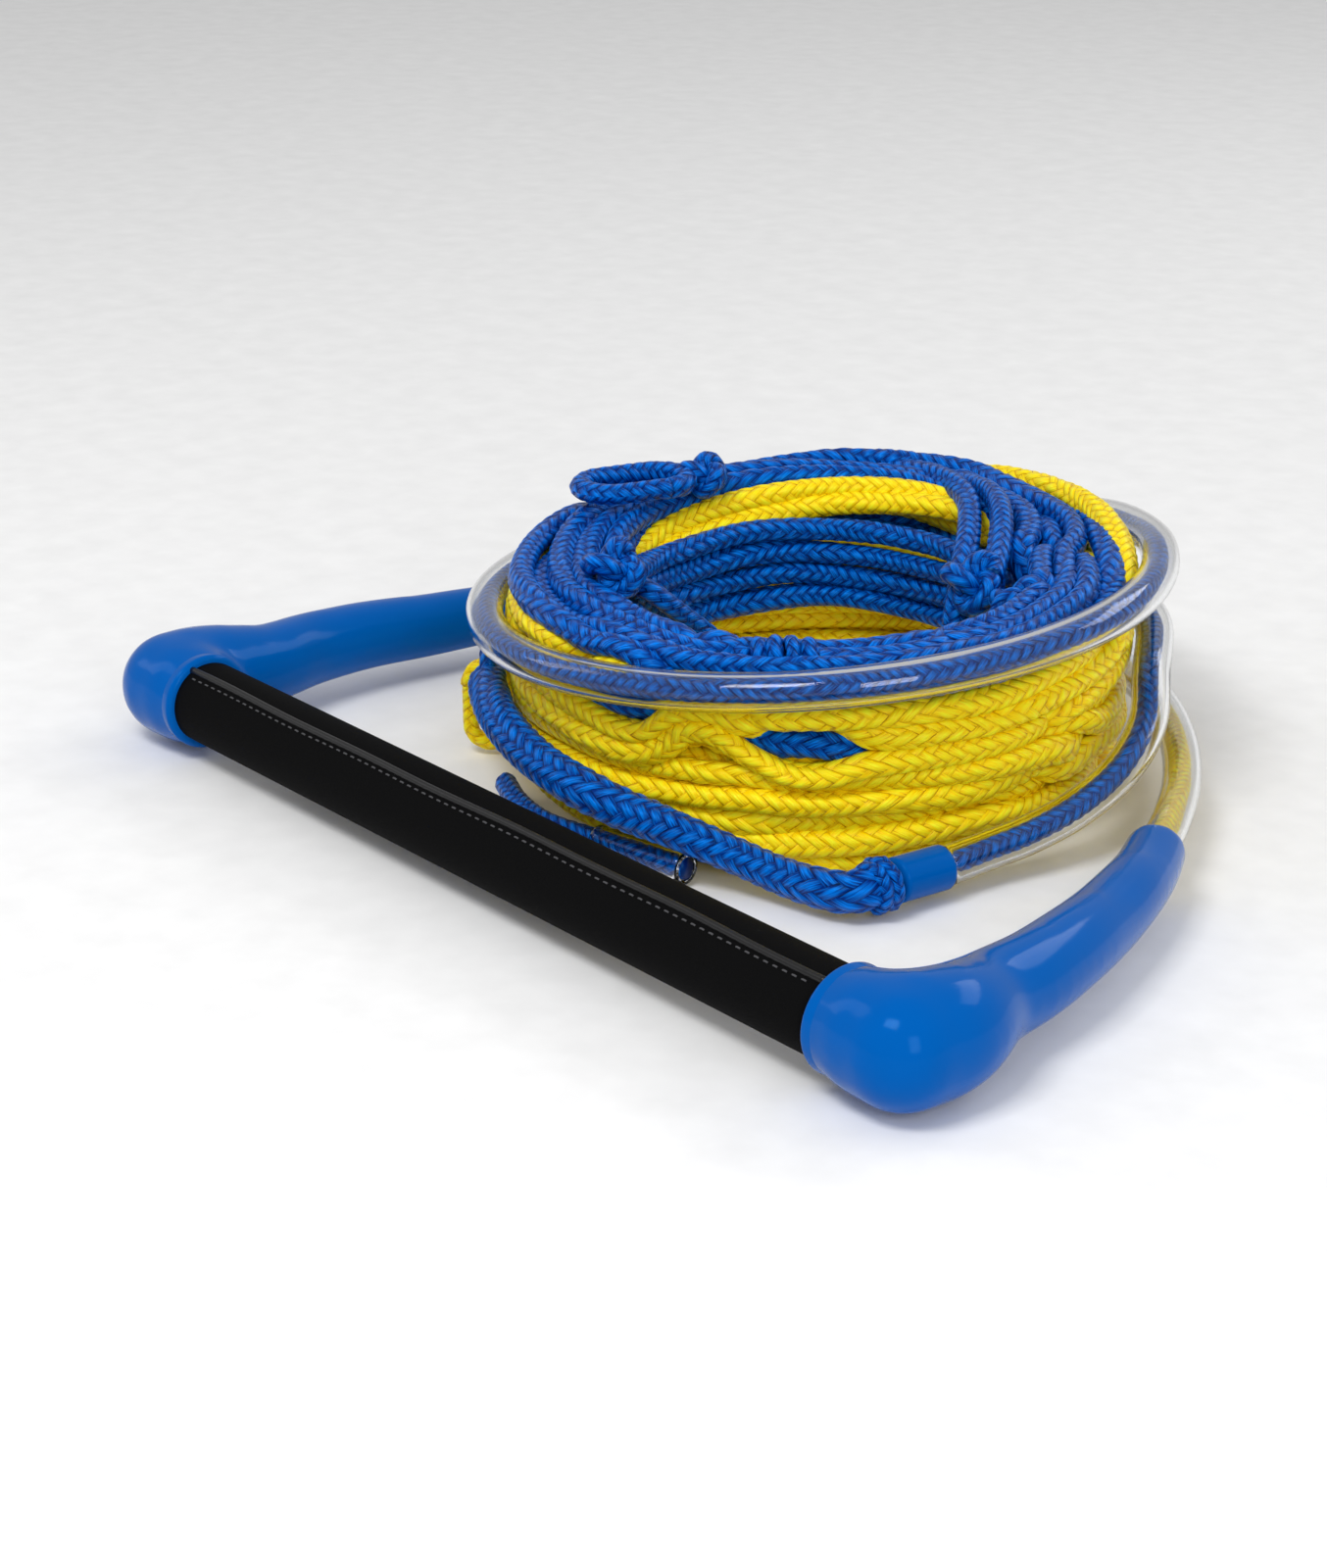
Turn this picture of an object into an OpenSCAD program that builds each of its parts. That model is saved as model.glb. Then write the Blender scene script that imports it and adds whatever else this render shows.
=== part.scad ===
// Wakeboard tow handle with its floating mainline coiled behind the bar.
// Frame: X along the bar, Y from the bar towards the coil, Z up, origin on the floor
// under the middle of the handle.

/* [Bar and grip] */
// Length of the aluminium bar
bar_len = 376; // [370:1:380]
// Outside diameter of the aluminium bar
bar_d = 22.2; // [20:0.1:24]
// Wall of the aluminium bar
bar_wall = 2; // [1.5:0.1:2.5]
// Length of the grip between the two corner caps
grip_len = 328; // [310:1:334]
// Outside diameter of the grip
grip_d = 28; // [26:0.5:30]
// Height of the bar's axis above the floor
bar_z = 19; // [19:0.5:22]

/* [Corner caps and arms] */
// Radius of the round corner of a cap
cap_r = 19; // [18.5:0.1:19]
// Radius of an arm where it leaves the corner
arm_root_r = 15.8; // [14:0.1:15.9]
// Radius of an arm at its cut end
arm_tip_r = 9.2; // [8.5:0.1:10]

/* [Bridle] */
// Outside diameter of the clear bridle tube
tube_d = 12.7; // [11:0.1:13]
// Inside diameter of the clear bridle tube
tube_bore = 9.5; // [9:0.1:9.8]
// Diameter of the rope inside a bridle tube
bridle_rope_d = 7; // [5:0.5:7.5]
// Diameter of the collar where a bridle tube ends
collar_d = 14.6; // [14:0.1:15]
// Length of that collar
collar_len = 20; // [16:1:24]
// Diameter of the thick spliced leader
leader_d = 12.4; // [10:0.1:12.5]

/* [Coiled mainline] */
// Outside radius of the coil at the middle of its height
coil_r = 103.5; // [100:0.5:104]
// Radius of the hole in the coil
hole_r = 71; // [66:0.5:72]
// Height of the yellow turns
yellow_h = 58; // [50:1:58]
// Thickness of the layer of blue turns
blue_h = 13; // [10:0.5:13]
// Diameter of the rope in the take-off loops
loop_rope_d = 6.6; // [6:0.1:6.8]

/* [Hidden] */
$fn = 64;

blue = [0.02, 0.36, 0.75];
rope_blue = [0.03, 0.28, 0.72];
rope_yellow = [0.98, 0.84, 0.02];
clear = [0.82, 0.85, 0.86, 0.5];
black = [0.06, 0.06, 0.06];
silver = [0.75, 0.76, 0.78];
foam = [0.9, 0.88, 0.8];

// The coil has its own frame, turned about Z so that its X runs along the row of loops.
coil_turn = 51.4;
coil_at = [-24, 154, 0];
function from_coil(p) = [
    coil_at.x + p.x * cos(coil_turn) - p.y * sin(coil_turn),
    coil_at.y + p.x * sin(coil_turn) + p.y * cos(coil_turn),
    p.z
];

// Bar ends: a rope passes through a hole in the bar's side and is held by a knot inside it.
knot_x = bar_len / 2 - 8;
knot_r = 7.6;
rope_hole_r = 4.4;
bung_len = 16;
float_len = 2 * (knot_x - knot_r - 1 - bung_len);
float_r = bar_d / 2 - bar_wall;
cap_x = bar_len / 2 + 2;
neck_r = grip_d / 2 + 1.8;
bead_r = grip_d / 2 + 2.6;
bead_len = 6;
seam_r = 1.3;
seam_angle = 64;
stitch_r = 0.35;
stitch_len = 1.6;
stitch_pitch = 4;
stitch_angle = 53;
// A point of the grip's skin, at an angle up from its -Y side.
function on_grip(x, r, angle) = [x, -r * cos(angle), r * sin(angle)];

// Axes of the two arms, from the corner to the cut end. The right arm bends inwards.
arm_y = 12;
left_arm_axis = [
    [-knot_x, arm_y, 19], [-knot_x, 20, 19], [-186, 38, 19], [-190, 58, 19], [-190.5, 82, 19],
    [-188.5, 107, 18], [-185.5, 130, 18], [-182, 151, 17], [-179, 172, 17]
];
right_arm_axis = [
    [knot_x, arm_y, 19], [knot_x, 20, 19], [180, 38, 19], [176, 59, 19], [169, 81.5, 19],
    [160, 103, 18], [150.5, 123.5, 18], [140, 142, 17], [128, 160, 17]
];
arm_steps = len(left_arm_axis) - 1;
function arm_r(i) = arm_root_r + (arm_tip_r - arm_root_r) * pow(i / arm_steps, 0.8);

// A route ends with a straight leg, and what follows it starts on that leg's line.
function leg_end(route) = route[len(route) - 1];
function leg_dir(route) =
    let (d = leg_end(route) - route[len(route) - 2])
    d / norm(d);
function past_end(route, by) = leg_end(route) + by * leg_dir(route);
tube_start_leg = 6;
function tube_start(axis) = [leg_end(axis), past_end(axis, tube_start_leg)];

// Height of the tube that rings the coil, at distance a to the coil's right.
function ring_z(a) = 68 + 0.094 * a;
ring_r = 112;
back_r = 112;

// A collar and a whipping follow the last leg of a bridle route, past its end.
whip_len = 8;
whip_r = 8.8;
rope_start_leg = 4;
function rope_start(route) = [
    past_end(route, collar_len + whip_len),
    past_end(route, collar_len + whip_len + rope_start_leg)
];

// Left bridle tube, in the coil's frame: behind the coil, once round its top from right
// to left, behind it again and down its right side to the collar.
left_lead = [
    [-56, 150, 21], [-20, 160, 29], [20, 156, 38], [58, 138, 48],
    [88, 108, 58], [104, 74, 67], [110.5, 36, 74]
];
left_ring = [for (t = [0:-15:-180]) [ring_r * cos(t), ring_r * sin(t), ring_z(ring_r * cos(t))]];
left_back = [for (t = [165:-15:0]) [back_r * cos(t), back_r * sin(t), 54 - 3 * cos(t)]];
left_end = [
    [107, -34, 46], [104, -52, 35], [94, -70, 26], [79, -83, 18], [63, -93, 13],
    [50, -100, 10.5], [36, -110, 9.3], [34, -111.5, 9.3]
];
left_route = concat(
    tube_start(left_arm_axis),
    [for (p = concat(left_lead, left_ring, left_back, left_end)) from_coil(p)]
);

// Right bridle tube: along the coil's right side, then two laps on the floor behind it.
right_lead = [
    [107, -92, 17], [114, -64, 17], [118, -36, 18], [119, -6, 18],
    [117, 26, 17], [114, 60, 13], [110, 96, 9], [104, 132, 7], [98, 166, 6.5]
];
lap_at = [10, 200];
function lap_r(t) = t < 180 ? 86 : 86 - 28 * (t - 180) / 360;
// The last lap rises a little, for the whipping to clear the floor.
function lap_z(t) = 6.5 + 2.8 * max(0, t - 552) / 96;
right_laps = [for (t = [0:24:648]) [
    lap_at.x + lap_r(t) * cos(t), lap_at.y + lap_r(t) * sin(t), lap_z(t)
]];
right_route = concat(
    tube_start(right_arm_axis),
    [for (p = concat(right_lead, right_laps)) from_coil(p)]
);

// Yellow rope from the right collar, over the outer lap and into the coil.
tail_route = concat(rope_start(right_route), [for (p = [
    [57.5, 157.5, 11.5], [59.5, 156, 16.5], [63.5, 150, 19], [67, 142, 18.5], [70, 133, 18],
    [74, 118, 17], [73, 103, 16], [68, 89, 15], [63, 81, 15]
]) from_coil(p)]);

// Thick leader, from the left collar round the coil's front to its left side.
leader_route = concat(rope_start(left_route), [for (p = [
    [3, -131, 9], [-4, -127.5, 8.8], [-15, -119, 9], [-32, -108.5, 12.8], [-50, -101, 18], [-67, -91, 21.5],
    [-83, -77, 25], [-96, -59, 28], [-106, -36, 31], [-111, -8, 31]
]) from_coil(p)]);
leader_end = from_coil([-111.5, 0, 31]);

// Boat end of the mainline: it lies at the coil's foot and enters a short clear sleeve.
boat_end_route = [for (p = [
    [-105, -26, 4.6], [-100, -44, 4.6], [-91, -62, 5], [-77, -77, 5.6], [-45, -104, 5.6]
]) from_coil(p)];
chafe_from = from_coil([-73, -80.375, 5.6]);
chafe_to = from_coil([-45, -104, 5.6]);
boat_rope_d = 7;
chafe_bore = 8;
chafe_d = 10.4;

// Blue layer on the coil, tilted so that its back stands higher.
blue_tilt = 3.5;
blue_at_z = 65;
foot_r = 100;
foot_h = 26;

// Take-off loops. Each hinges at its knot.
top_knot_at = from_coil([-38, 62, 85.6]);
top_knot_r = 7;
hang_knot_at = from_coil([-68, -22, 78]);
hang_knot_r = 8;
hang_turn = 35;
hang_dip = 40;
loop_gap = 0.6;
top_turn_r = 8;
hang_turn_r = 7;
front_knot_at = from_coil([-16, -90, 71]);
front_knot_r = 6.5;
right_knot_spots = [[50, -18, 72], [62, -36, 70]];
knot_seat = 0.4;
right_knot_r = 8;

// One ring of n points of radius r, square to the path at point i of it.
function ring(path, i, r, n) =
    let (
        a = path[max(i - 1, 0)],
        b = path[min(i + 1, len(path) - 1)],
        t = (b - a) / norm(b - a),
        side = cross(t, [0, 0, 1]),
        s = side / norm(side),
        u = cross(s, t)
    )
    [for (k = [0:n - 1]) path[i] + r * (cos(360 * k / n) * s + sin(360 * k / n) * u)];
function rings(path, radii, n) = [for (i = [0:len(path) - 1]) each ring(path, i, radii[i], n)];
function same(path, r) = [for (p = path) r];
// Faces of the wall of a swept tube whose points start at index at.
function wall(at, count, n, inward) = [
    for (i = [0:count - 2]) for (k = [0:n - 1])
    let (
        a = at + i * n + k,
        b = at + i * n + (k + 1) % n,
        quad = [a, a + n, b + n, b]
    )
    inward ? [quad[3], quad[2], quad[1], quad[0]] : quad
];

// Solid bar of round section swept along a path.
module sweep(path, radii, n) {
    last = (len(path) - 1) * n;
    polyhedron(
        rings(path, radii, n),
        concat(
            wall(0, len(path), n, false),
            [[for (k = [0:n - 1]) k]],
            [[for (k = [n - 1:-1:0]) last + k]]
        ),
        convexity = 10
    );
}

// Tube of round section swept along a path, open at both ends.
module hollow_sweep(path, radii, bore_r, n) {
    total = len(path) * n;
    last = total - n;
    polyhedron(
        concat(rings(path, radii, n), rings(path, same(path, bore_r), n)),
        concat(
            wall(0, len(path), n, false),
            wall(total, len(path), n, true),
            [for (k = [0:n - 1]) [k, (k + 1) % n, total + (k + 1) % n, total + k]],
            [for (k = [0:n - 1]) [
                last + (k + 1) % n, last + k, total + last + k, total + last + (k + 1) % n
            ]]
        ),
        convexity = 10
    );
}

// Cylinder of radius r from one point to another.
module rod(from, to, r) {
    d = to - from;
    translate(from)
        rotate([0, acos(d.z / norm(d)), atan2(d.y, d.x)])
            cylinder(r = r, h = norm(d));
}

// Cylinder along the bar between two values of X.
module along_bar(x0, x1, r) {
    translate([x0, 0, bar_z])
        rotate([0, 90, 0])
            cylinder(r = r, h = x1 - x0);
}

// Closed loop of rope in the XY plane: two half turns joined by two straight runs along X.
// The near half turn is centred on the origin.
module rope_loop(run, turn_r, r) {
    for (end = [0, 1])
        translate([end * run, 0, 0])
            rotate([0, 0, end == 0 ? 90 : -90])
                rotate_extrude(angle = 180)
                    translate([turn_r, 0])
                        circle(r = r);
    for (side = [-1, 1])
        translate([0, side * turn_r, 0])
            rotate([0, 90, 0])
                cylinder(r = r, h = run);
}

module bar_tube() {
    color(silver)
        difference() {
            along_bar(-bar_len / 2, bar_len / 2, bar_d / 2);
            along_bar(-bar_len / 2 - 1, bar_len / 2 + 1, bar_d / 2 - bar_wall);
            for (side = [-1, 1])
                translate([side * knot_x, 0, bar_z])
                    rotate([-90, 0, 0])
                        cylinder(r = rope_hole_r, h = bar_d);
        }
}

module bar_float() {
    color(foam)
        along_bar(-float_len / 2, float_len / 2, float_r);
}

module bar_bung(side) {
    inner = side > 0 ? float_len / 2 : -float_len / 2 - bung_len;
    color(foam)
        along_bar(inner, inner + bung_len, float_r);
}

module grip_sleeve() {
    color(black)
        difference() {
            along_bar(-grip_len / 2, grip_len / 2, grip_d / 2);
            along_bar(-grip_len / 2 - 1, grip_len / 2 + 1, bar_d / 2);
            translate(on_grip(0, grip_d / 2, seam_angle))
                along_bar(-grip_len / 2 - 1, grip_len / 2 + 1, seam_r);
        }
}

module grip_seam_welt() {
    color(black)
        translate(on_grip(0, grip_d / 2, seam_angle))
            along_bar(-grip_len / 2, grip_len / 2, seam_r);
}

module grip_stitching() {
    count = floor(grip_len / stitch_pitch) - 1;
    color("dimgray")
        for (i = [0:count - 1])
            translate(on_grip((i - count / 2) * stitch_pitch, grip_d / 2 + stitch_r, stitch_angle))
                along_bar(0, stitch_len, stitch_r, $fn = 8);
}

module stopper_knot(side) {
    color(side > 0 ? rope_yellow : rope_blue)
        translate([side * knot_x, 0, bar_z])
            sphere(r = knot_r);
}

// Moulded cap over the end of the bar, with the mouth of the arm on its +Y side.
module left_corner_cap() {
    color(blue)
        difference() {
            union() {
                translate([-cap_x, 0, bar_z])
                    sphere(r = cap_r);
                translate([-grip_len / 2, 0, bar_z])
                    rotate([0, -90, 0])
                        rotate_extrude()
                            polygon([
                                [0, 0], [bead_r, 0], [bead_r, bead_len], [neck_r, bead_len + 1],
                                [neck_r, cap_x - grip_len / 2], [0, cap_x - grip_len / 2]
                            ]);
            }
            along_bar(-bar_len / 2, 0, bar_d / 2);
            rod([-knot_x, 0, bar_z], [-knot_x, cap_r + 1, bar_z], rope_hole_r);
            translate([-cap_x - 2 * cap_r, arm_y, 0])
                cube([4 * cap_r, cap_r, 2 * bar_z + 1]);
        }
}

module right_corner_cap() {
    mirror([1, 0, 0])
        left_corner_cap();
}

// Soft sleeve moulded over the rope, thickest at the corner.
module arm_sleeve(axis) {
    color(blue)
        hollow_sweep(axis, [for (i = [0:arm_steps]) arm_r(i)], rope_hole_r, 16);
}

module arm_rope(axis, side) {
    color(side > 0 ? rope_yellow : rope_blue)
        sweep(
            concat([[side * knot_x, 5, bar_z]], axis),
            same(concat([0], axis), bridle_rope_d / 2),
            8
        );
}

module bridle_tube(route) {
    color(clear)
        hollow_sweep(route, same(route, tube_d / 2), tube_bore / 2, 10);
}

module bridle_rope(route, shade) {
    color(shade)
        sweep(route, same(route, bridle_rope_d / 2), 8);
}

module collar(route) {
    color(blue)
        rod(leg_end(route), leg_end(route) + collar_len * leg_dir(route), collar_d / 2);
}

module whipping(route, shade) {
    start = leg_end(route) + collar_len * leg_dir(route);
    color(shade)
        rod(start, start + whip_len * leg_dir(route), whip_r);
}

module leader_rope() {
    color(rope_blue)
        sweep(leader_route, same(leader_route, leader_d / 2), 10);
}

module leader_eye() {
    color(rope_blue)
        translate(leader_end)
            rotate([90, 0, coil_turn + 90])
                translate([6, 0, 0])
                    rope_loop(20, 7, 3);
}

module mainline_eye() {
    color(rope_yellow)
        translate(leader_end)
            rotate([0, 0, coil_turn])
                translate([0, 16, -6.6])
                    rotate([0, 90, 90])
                        rope_loop(14, 7, 3);
}

module yellow_tail() {
    color(rope_yellow)
        sweep(tail_route, same(tail_route, bridle_rope_d / 2), 8);
}

module boat_end_rope() {
    color(rope_blue)
        sweep(boat_end_route, same(boat_end_route, boat_rope_d / 2), 8);
}

module chafe_sleeve() {
    color(clear)
        difference() {
            rod(chafe_from, chafe_to, chafe_d / 2);
            rod(chafe_from - (chafe_to - chafe_from), 2 * chafe_to - chafe_from, chafe_bore / 2);
        }
}

module yellow_coil() {
    color(rope_yellow)
        translate(coil_at)
            rotate_extrude($fn = 96)
                polygon([
                    [hole_r + 3, 0], [foot_r - 4, 0], [foot_r, 4], [foot_r, foot_h],
                    [coil_r, foot_h + 4], [coil_r, yellow_h - 4], [coil_r - 4, yellow_h],
                    [hole_r, yellow_h], [hole_r, 4]
                ]);
}

module blue_coil() {
    color(rope_blue)
        difference() {
            translate(coil_at)
                rotate([0, 0, coil_turn])
                    translate([0, 0, blue_at_z])
                        rotate([blue_tilt, 0, 0])
                            rotate_extrude($fn = 96)
                                polygon([
                                    [hole_r + 3, 0], [coil_r - 2, 0], [coil_r, 3],
                                    [coil_r - 3, blue_h - 4], [coil_r - 9, blue_h],
                                    [hole_r + 6, blue_h], [hole_r, blue_h - 5], [hole_r, 3]
                                ]);
            translate(top_knot_at)
                sphere(r = top_knot_r + knot_seat);
            translate(hang_knot_at)
                sphere(r = hang_knot_r + knot_seat);
            translate(front_knot_at)
                sphere(r = front_knot_r + knot_seat);
            for (spot = right_knot_spots)
                translate(from_coil(spot))
                    sphere(r = right_knot_r + knot_seat);
        }
}

module top_loop() {
    color(rope_blue)
        translate(top_knot_at)
            rotate([0, 0, coil_turn + 203])
                translate([top_knot_r + loop_gap + top_turn_r + loop_rope_d / 2, 0, 0])
                    rope_loop(26, top_turn_r, loop_rope_d / 2);
}

module top_loop_knot() {
    color(rope_blue)
        translate(top_knot_at)
            sphere(r = top_knot_r);
}

module hanging_loop() {
    color(rope_blue)
        translate(hang_knot_at)
            rotate([0, 0, coil_turn + hang_turn])
                rotate([0, hang_dip, 0])
                    translate([hang_knot_r + loop_gap + hang_turn_r + loop_rope_d / 2, 0, 0])
                        rope_loop(22, hang_turn_r, loop_rope_d / 2);
}

module hanging_loop_knot() {
    color(rope_blue)
        translate(hang_knot_at)
            sphere(r = hang_knot_r);
}

module front_knot() {
    color(rope_blue)
        translate(front_knot_at)
            sphere(r = front_knot_r);
}

module right_knots() {
    color(rope_blue)
        for (spot = right_knot_spots)
            translate(from_coil(spot))
                sphere(r = right_knot_r);
}

bar_tube();
bar_float();
grip_sleeve();
grip_seam_welt();
grip_stitching();
bar_bung(-1);  // left_bar_bung
bar_bung(1);  // right_bar_bung
stopper_knot(-1);  // left_stopper_knot
stopper_knot(1);  // right_stopper_knot
left_corner_cap();
right_corner_cap();
arm_sleeve(left_arm_axis);  // left_arm_sleeve
arm_sleeve(right_arm_axis);  // right_arm_sleeve
arm_rope(left_arm_axis, -1);  // left_arm_rope
arm_rope(right_arm_axis, 1);  // right_arm_rope
bridle_tube(left_route);  // left_bridle_tube
bridle_tube(right_route);  // right_bridle_tube
bridle_rope(left_route, rope_blue);  // left_bridle_rope
bridle_rope(right_route, rope_yellow);  // right_bridle_rope
collar(left_route);  // left_collar
collar(right_route);  // right_collar
whipping(left_route, rope_blue);  // left_whipping
whipping(right_route, rope_yellow);  // right_whipping
leader_rope();
leader_eye();
mainline_eye();
yellow_tail();
boat_end_rope();
chafe_sleeve();
yellow_coil();
blue_coil();
top_loop();
top_loop_knot();
hanging_loop();
hanging_loop_knot();
front_knot();
right_knots();
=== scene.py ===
"""Looks of a wakeboard tow handle with its coiled mainline.

Point lists are in millimetres: the row frame's for the handle, and the coil's own for ropes and tubes.
The coil's frame has a to its right as the camera sees it, b away from the camera and z up.
Everything is turned into the row frame, in metres, before it becomes a mesh.
"""

import math

import bpy
import numpy as np
from mathutils import Matrix, Vector


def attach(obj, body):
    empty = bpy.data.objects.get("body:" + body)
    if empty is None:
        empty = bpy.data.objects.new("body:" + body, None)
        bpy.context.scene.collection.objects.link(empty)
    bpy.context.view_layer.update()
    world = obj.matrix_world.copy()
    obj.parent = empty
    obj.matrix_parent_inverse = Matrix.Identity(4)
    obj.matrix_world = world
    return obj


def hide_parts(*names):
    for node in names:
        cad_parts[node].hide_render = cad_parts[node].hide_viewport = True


MM = 0.001
BAR_Z = 19.0
GRIP_R = 14.0
GRIP_LEN = 328.0
TUBE_R = 6.35
TUBE_BORE_R = 4.75
BRIDLE_ROPE_D = 7.2
LEADER_D = 12.4
EYE_ROPE_D = 6.0
TAIL_ROPE_D = 7.0
ROPE_D = 8.6
STRAY_D = 7.4
STRAND_D = 8.0
CROSSING_D = 8.4
COIL_AT = np.array([-24.0, 154.0, 0.0])
COIL_TURN = math.radians(51.4)

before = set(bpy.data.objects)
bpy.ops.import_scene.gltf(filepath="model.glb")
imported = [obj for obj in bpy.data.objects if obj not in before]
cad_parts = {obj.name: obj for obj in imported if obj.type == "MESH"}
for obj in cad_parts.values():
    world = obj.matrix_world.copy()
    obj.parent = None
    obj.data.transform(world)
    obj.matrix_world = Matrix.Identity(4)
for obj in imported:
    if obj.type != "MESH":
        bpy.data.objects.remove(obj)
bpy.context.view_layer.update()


# Camera, light and floor


def add_camera():
    """The camera, which looks at the part from the photo's angle."""
    camera = bpy.data.objects.new("camera", bpy.data.cameras.new("camera"))
    bpy.context.scene.collection.objects.link(camera)
    camera.location = (0.7995, -0.5706, 0.4146)
    target = Vector((0.0370, 0.0384, 0.040))
    camera.rotation_euler = (target - camera.location).to_track_quat("-Z", "Y").to_euler()
    camera.data.lens = 78.97
    camera.data.sensor_width = 36.0
    camera.data.clip_start = 0.02
    bpy.context.scene.camera = camera


def add_softbox(name, place, aim, size, power):
    """A white softbox at a place, turned to what it aims at."""
    lamp = bpy.data.lights.new(name, "AREA")
    lamp.shape = "RECTANGLE"
    lamp.size, lamp.size_y = size
    lamp.energy = power
    box = bpy.data.objects.new(name, lamp)
    box.location = place
    box.rotation_euler = (Vector(aim) - Vector(place)).to_track_quat("-Z", "Y").to_euler()
    bpy.context.scene.collection.objects.link(box)


def add_studio():
    """Soft white surroundings, four softboxes and a pale floor."""
    world = bpy.data.worlds.new("studio")
    world.use_nodes = True
    world.node_tree.nodes["Background"].inputs["Color"].default_value = (1.0, 1.0, 1.0, 1.0)
    world.node_tree.nodes["Background"].inputs["Strength"].default_value = 0.54
    bpy.context.scene.world = world
    add_softbox("key", (0.35, -0.9, 1.5), (0, 0.08, 0), (0.7, 0.45), 14)
    add_softbox("front", (1.5, -0.5, 0.7), (0, 0.08, 0.03), (0.5, 0.8), 8)
    add_softbox("fill", (-1.2, -0.7, 0.9), (-0.1, 0.05, 0), (0.4, 0.8), 2)
    add_softbox("rim", (0.2, 1.5, 1.1), (0, 0.1, 0.02), (1.2, 0.4), 5)
    half, z = 6, -0.001
    corners = [(-half, -half, z), (half, -half, z), (half, half, z), (-half, half, z)]
    floor = new_mesh("floor", corners, [(0, 1, 2, 3)])
    floor.data.materials.append(plain_material("floor", (0.9, 0.9, 0.9), roughness=0.9, specular=0.1))
    bpy.context.scene.view_settings.view_transform = "Standard"


# Lines


def from_coil(points):
    """Points in the coil's frame, in mm, as points in the row frame, in metres."""
    p = np.atleast_2d(np.array(points, float))
    c, s = math.cos(COIL_TURN), math.sin(COIL_TURN)
    turned = np.stack([p[:, 0] * c - p[:, 1] * s, p[:, 0] * s + p[:, 1] * c, p[:, 2]], axis=1)
    return MM * (COIL_AT + turned)


def evenly(line, step):
    """The same line with points about one step apart."""
    line = np.asarray(line, float)
    along = np.concatenate([[0], np.cumsum(np.linalg.norm(np.diff(line, axis=0), axis=1))])
    want = np.linspace(0, along[-1], max(3, int(round(along[-1] / step)) + 1))
    return np.stack([np.interp(want, along, line[:, k]) for k in range(3)], axis=1)


def smooth(points, step=0.002):
    """A smooth line through the points."""
    p = np.asarray(points, float)
    p = np.vstack([2 * p[0] - p[1], p, 2 * p[-1] - p[-2]])
    t = np.linspace(0, 1, 16, endpoint=False)[:, None]
    parts = []
    for a, b, c, d in zip(p, p[1:], p[2:], p[3:]):
        curve = 2 * b + (c - a) * t + (2 * a - 5 * b + 4 * c - d) * t**2 + (3 * b - a - 3 * c + d) * t**3
        parts.append(0.5 * curve)
    return evenly(np.vstack(parts + [p[-2:-1]]), step)


def length_of(line):
    """A line's length, in its own unit."""
    return float(np.linalg.norm(np.diff(line, axis=0), axis=1).sum())


def frames(line):
    """Two unit vectors square to the line at each of its points, which turn as little as they can."""
    tangent = np.gradient(line, axis=0)
    tangent /= np.linalg.norm(tangent, axis=1)[:, None]
    side = np.empty_like(line)
    across = np.cross(tangent[0], (0, 0, 1.0))
    if np.linalg.norm(across) < 0.1:
        across = np.array([1.0, 0, 0])
    for i, t in enumerate(tangent):
        across = across - t * (across @ t)
        across /= math.sqrt(across @ across)
        side[i] = across
    return side, np.cross(tangent, side)


# Meshes


def new_mesh(name, vertices, faces, uv=None):
    """A mesh object in the scene. uv has one pair for each corner of each face."""
    mesh = bpy.data.meshes.new(name)
    mesh.from_pydata([tuple(v) for v in vertices], [], faces)
    if uv is not None:
        layer = mesh.uv_layers.new(name="braid")
        layer.data.foreach_set("uv", np.asarray(uv, np.float32).ravel())
    mesh.update()
    piece = bpy.data.objects.new(name, mesh)
    bpy.context.scene.collection.objects.link(piece)
    return piece


def place(piece, material, slot, body="handle_and_coil", replaces=()):
    """Gives a piece its material and body, and hides the CAD nodes that it stands for. slot is not used."""
    piece.data.polygons.foreach_set("use_smooth", [True] * len(piece.data.polygons))
    piece.data.materials.append(material)
    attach(piece, body)
    if replaces:
        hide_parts(*replaces)
    return piece


def ring_faces(n, m, closed_along=False):
    """Quads between n rings of m points."""
    i, k = np.meshgrid(np.arange(n if closed_along else n - 1), np.arange(m), indexing="ij")
    nxt, nxt_i = (k + 1) % m, (i + 1) % n
    return np.stack([i * m + k, i * m + nxt, nxt_i * m + nxt, nxt_i * m + k], axis=-1).reshape(-1, 4)


def swept(name, line, radii, sides=24, braid=None):
    """A solid piece of round section along a line.

    radii is one number, or one for each point, or one for each point of each ring.
    braid is the number of strands, and the twist and the count of stitches at each point, for the UV map.
    """
    side, up = frames(line)
    n = len(line)
    radii = np.asarray(radii, float)
    if radii.ndim == 0:
        radii = np.full(n, float(radii))
    if radii.ndim == 1:
        radii = np.repeat(radii[:, None], sides, axis=1)
    angle = 2 * np.pi * np.arange(sides) / sides
    around = np.cos(angle)[None, :, None] * side[:, None] + np.sin(angle)[None, :, None] * up[:, None]
    points = (line[:, None] + radii[:, :, None] * around).reshape(-1, 3)
    quads = ring_faces(n, sides)
    faces = quads.tolist()
    faces.append(list(range(sides - 1, -1, -1)))
    faces.append([(n - 1) * sides + k for k in range(sides)])
    uv = None
    if braid is not None:
        strands, twist, stitch = braid
        ring, k = quads[:, 0] // sides, quads[:, 0] % sides
        u0, u1 = strands * k / sides, strands * (k + 1) / sides
        t0, t1, v0, v1 = twist[ring], twist[ring + 1], stitch[ring], stitch[ring + 1]
        uv = np.stack([u0 + t0, v0, u1 + t0, v0, u1 + t1, v1, u0 + t1, v1], axis=1).reshape(-1, 2)
        uv = np.vstack([uv, np.zeros((2 * sides, 2))])
    return new_mesh(name, points, faces, uv)


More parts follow.
